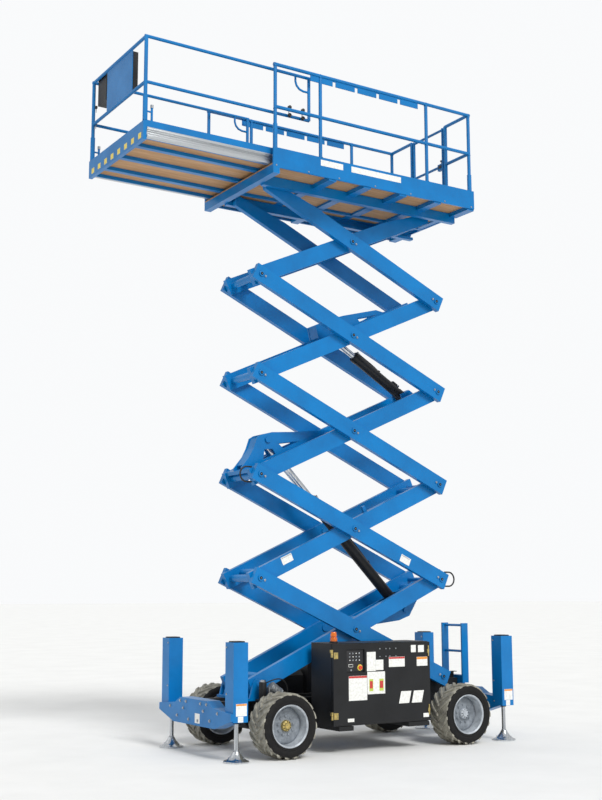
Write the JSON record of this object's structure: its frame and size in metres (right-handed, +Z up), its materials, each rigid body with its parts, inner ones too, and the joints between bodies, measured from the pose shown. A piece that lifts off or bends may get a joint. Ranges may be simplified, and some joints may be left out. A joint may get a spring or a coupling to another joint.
{
  "type": "scissor lift",
  "caption": "Rough-terrain scissor lift standing on outriggers; hydraulic cylinders raise its crossed-arm stack under a guard-railed platform with a roll-out deck.",
  "frame": {"origin": "on the floor under the middle of the machine's outline as posed: roll-out deck out, outriggers down", "axes": "+X forwards, towards the steering axle and the roll-out deck; +Y to the machine's left; +Z up"},
  "size_m": [4.713, 1.718, 7.3166],
  "materials": {
    "blue": "gloss enamel",
    "black": "satin enamel",
    "tyre": "dusty",
    "rim": "satin enamel",
    "chrome": "polished",
    "plywood": "phenolic-faced plywood",
    "aluminium": "mill finish",
    "amber": "clear tinted lens"
  },
  "bodies": {
    "chassis": {"chassis_frame": "black", "front_pivot_mount": "blue", "front_axle": "black", "rear_axle": "black", "front_outrigger_frame": "blue", "rear_outrigger_frame": "blue", "left_cabinet": "black", "right_cabinet": "black", "engine_block": "black", "fuel_tank": "black", "entry_ladder": "blue", "warning_beacon": "amber"},
    "knuckle_left": {"knuckle_left": "black"},
    "knuckle_right": {"knuckle_right": "black"},
    "wheel_front_left": {"tyre_front_left": "tyre", "rim_front_left": "rim"},
    "leg_front_left": {"outrigger_leg_front_left": "chrome"},
    "wheel_front_right": {"tyre_front_right": "tyre", "rim_front_right": "rim"},
    "leg_front_right": {"outrigger_leg_front_right": "chrome"},
    "wheel_rear_left": {"tyre_rear_left": "tyre", "rim_rear_left": "rim"},
    "leg_rear_left": {"outrigger_leg_rear_left": "chrome"},
    "wheel_rear_right": {"tyre_rear_right": "tyre", "rim_rear_right": "rim"},
    "leg_rear_right": {"outrigger_leg_rear_right": "chrome"},
    "left_door": {"left_cabinet_door": "black"},
    "right_door": {"right_cabinet_door": "black"},
    "inner_arm_1": {"inner_arm_1": "blue"},
    "outer_arm_1": {"outer_arm_1": "blue"},
    "inner_arm_2": {"inner_arm_2": "blue", "safety_strut": "blue"},
    "outer_arm_2": {"outer_arm_2": "blue"},
    "inner_arm_3": {"inner_arm_3": "blue"},
    "outer_arm_3": {"outer_arm_3": "blue"},
    "inner_arm_4": {"inner_arm_4": "blue"},
    "outer_arm_4": {"outer_arm_4": "blue"},
    "inner_arm_5": {"inner_arm_5": "blue"},
    "outer_arm_5": {"outer_arm_5": "blue"},
    "lower_barrel": {"lower_cylinder_barrel": "black"},
    "lower_rod": {"lower_cylinder_rod": "chrome"},
    "upper_barrel": {"upper_cylinder_barrel": "black"},
    "upper_rod": {"upper_cylinder_rod": "chrome"},
    "platform": {"deck_frame": "blue", "roller_beam_left": "blue", "roller_beam_right": "blue", "deck_floor": "plywood", "deck_guardrail_left": "blue", "deck_guardrail_right": "blue"},
    "gate": {"entry_gate": "blue"},
    "extension": {"extension_frame": "blue", "extension_floor": "plywood", "extension_channel_left": "aluminium", "extension_channel_right": "aluminium", "extension_guardrails": "blue", "platform_control_box": "black", "document_box": "black"}
  },
  "joints": [
    {"name": "lift", "type": "hinge", "parent": "chassis", "child": "inner_arm_1", "pos_m": [0.7655, 0, 0.703], "axis": [0, 1, 0], "range_deg": [-19.3, 35.48]},
    {"name": "centre_pin_1", "type": "hinge", "parent": "inner_arm_1", "child": "outer_arm_1", "pos_m": [-0.44092, 0, 1.24797], "axis": [0, 1, 0], "range_deg": [-70.97, 38.61]},
    {"name": "rear_pin_1", "type": "hinge", "parent": "inner_arm_1", "child": "outer_arm_2", "pos_m": [-1.64734, 0, 1.79295], "axis": [0, 1, 0], "range_deg": [-70.97, 38.61]},
    {"name": "centre_pin_2", "type": "hinge", "parent": "outer_arm_2", "child": "inner_arm_2", "pos_m": [-0.44092, 0, 2.33792], "axis": [0, 1, 0], "range_deg": [-38.61, 70.97]},
    {"name": "front_pin_2", "type": "hinge", "parent": "outer_arm_2", "child": "inner_arm_3", "pos_m": [0.7655, 0, 2.88289], "axis": [0, 1, 0], "range_deg": [-38.61, 70.97]},
    {"name": "centre_pin_3", "type": "hinge", "parent": "inner_arm_3", "child": "outer_arm_3", "pos_m": [-0.44092, 0, 3.42787], "axis": [0, 1, 0], "range_deg": [-70.97, 38.61]},
    {"name": "rear_pin_3", "type": "hinge", "parent": "inner_arm_3", "child": "outer_arm_4", "pos_m": [-1.64734, 0, 3.97284], "axis": [0, 1, 0], "range_deg": [-70.97, 38.61]},
    {"name": "centre_pin_4", "type": "hinge", "parent": "outer_arm_4", "child": "inner_arm_4", "pos_m": [-0.44092, 0, 4.51781], "axis": [0, 1, 0], "range_deg": [-38.61, 70.97]},
    {"name": "front_pin_4", "type": "hinge", "parent": "outer_arm_4", "child": "inner_arm_5", "pos_m": [0.7655, 0, 5.06279], "axis": [0, 1, 0], "range_deg": [-38.61, 70.97]},
    {"name": "centre_pin_5", "type": "hinge", "parent": "inner_arm_5", "child": "outer_arm_5", "pos_m": [-0.44092, 0, 5.60776], "axis": [0, 1, 0], "range_deg": [-70.97, 38.61]},
    {"name": "platform_pin", "type": "hinge", "parent": "outer_arm_5", "child": "platform", "pos_m": [0.67437, 0, 6.11156], "axis": [0, 1, 0], "range_deg": [-19.31, 35.49]},
    {"name": "lower_cylinder_pin", "type": "hinge", "parent": "inner_arm_1", "child": "lower_barrel", "pos_m": [-1.3247, 0, 1.4442], "axis": [0, 1, 0], "range_deg": [-62.53, 34.02]},
    {"name": "lower_cylinder_stroke", "type": "slide", "parent": "lower_barrel", "child": "lower_rod", "axis": [0.7067, 0, 0.7075], "range_m": [-0.5485, 1.0082]},
    {"name": "upper_cylinder_pin", "type": "hinge", "parent": "inner_arm_3", "child": "upper_barrel", "pos_m": [-1.38876, 0, 3.94382], "axis": [0, 1, 0], "range_deg": [-68.91, 37.49]},
    {"name": "upper_cylinder_stroke", "type": "slide", "parent": "upper_barrel", "child": "upper_rod", "axis": [0.8576, 0, 0.5143], "range_m": [-0.0873, 0.1605]},
    {"name": "steer_left", "type": "hinge", "parent": "chassis", "child": "knuckle_left", "pos_m": [0.7015, 0.52, 0.325], "axis": [0, 0, 1], "range_deg": [-30, 30]},
    {"name": "steer_right", "type": "hinge", "parent": "chassis", "child": "knuckle_right", "pos_m": [0.7015, -0.52, 0.325], "axis": [0, 0, 1], "range_deg": [-30, 30]},
    {"name": "wheel_front_left", "type": "hinge", "parent": "knuckle_left", "child": "wheel_front_left", "pos_m": [0.7015, 0.704, 0.325], "axis": [0, 1, 0], "continuous": true},
    {"name": "wheel_front_right", "type": "hinge", "parent": "knuckle_right", "child": "wheel_front_right", "pos_m": [0.7015, -0.704, 0.325], "axis": [0, 1, 0], "continuous": true},
    {"name": "wheel_rear_left", "type": "hinge", "parent": "chassis", "child": "wheel_rear_left", "pos_m": [-1.5985, 0.704, 0.325], "axis": [0, 1, 0], "continuous": true},
    {"name": "wheel_rear_right", "type": "hinge", "parent": "chassis", "child": "wheel_rear_right", "pos_m": [-1.5985, -0.704, 0.325], "axis": [0, 1, 0], "continuous": true},
    {"name": "outrigger_front_left", "type": "slide", "parent": "chassis", "child": "leg_front_left", "axis": [0, 0, 1], "range_m": [0, 0.18]},
    {"name": "outrigger_front_right", "type": "slide", "parent": "chassis", "child": "leg_front_right", "axis": [0, 0, 1], "range_m": [0, 0.18]},
    {"name": "outrigger_rear_left", "type": "slide", "parent": "chassis", "child": "leg_rear_left", "axis": [0, 0, 1], "range_m": [0, 0.18]},
    {"name": "outrigger_rear_right", "type": "slide", "parent": "chassis", "child": "leg_rear_right", "axis": [0, 0, 1], "range_m": [0, 0.18]},
    {"name": "left_door", "type": "hinge", "parent": "chassis", "child": "left_door", "pos_m": [0.1655, 0.796, 0.7], "axis": [0, 0, -1], "range_deg": [0, 100]},
    {"name": "right_door", "type": "hinge", "parent": "chassis", "child": "right_door", "pos_m": [-0.2845, -0.796, 0.7], "axis": [0, 0, 1], "range_deg": [0, 100]},
    {"name": "gate_hinge", "type": "hinge", "parent": "platform", "child": "gate", "pos_m": [-1.8685, -0.2847, 6.8], "axis": [0, 0, -1], "range_deg": [0, 90]},
    {"name": "deck_roll_out", "type": "slide", "parent": "platform", "child": "extension", "axis": [1, 0, 0], "range_m": [-1.44, 0]}
  ],
  "couplings": [
    {"joint": "centre_pin_1", "follows": "lift", "ratio": -2},
    {"joint": "rear_pin_1", "follows": "lift", "ratio": -2},
    {"joint": "centre_pin_2", "follows": "lift", "ratio": 2},
    {"joint": "front_pin_2", "follows": "lift", "ratio": 2},
    {"joint": "centre_pin_3", "follows": "lift", "ratio": -2},
    {"joint": "rear_pin_3", "follows": "lift", "ratio": -2},
    {"joint": "centre_pin_4", "follows": "lift", "ratio": 2},
    {"joint": "front_pin_4", "follows": "lift", "ratio": 2},
    {"joint": "centre_pin_5", "follows": "lift", "ratio": -2},
    {"joint": "platform_pin", "follows": "lift", "ratio": 1},
    {"joint": "lower_cylinder_pin", "follows": "lift", "ratio": -1.762},
    {"joint": "lower_cylinder_stroke", "follows": "lift", "m_per_rad": 1.628},
    {"joint": "upper_cylinder_pin", "follows": "lift", "ratio": -1.942},
    {"joint": "upper_cylinder_stroke", "follows": "lift", "m_per_rad": 0.259},
    {"joint": "steer_right", "follows": "steer_left", "ratio": 1}
  ]
}
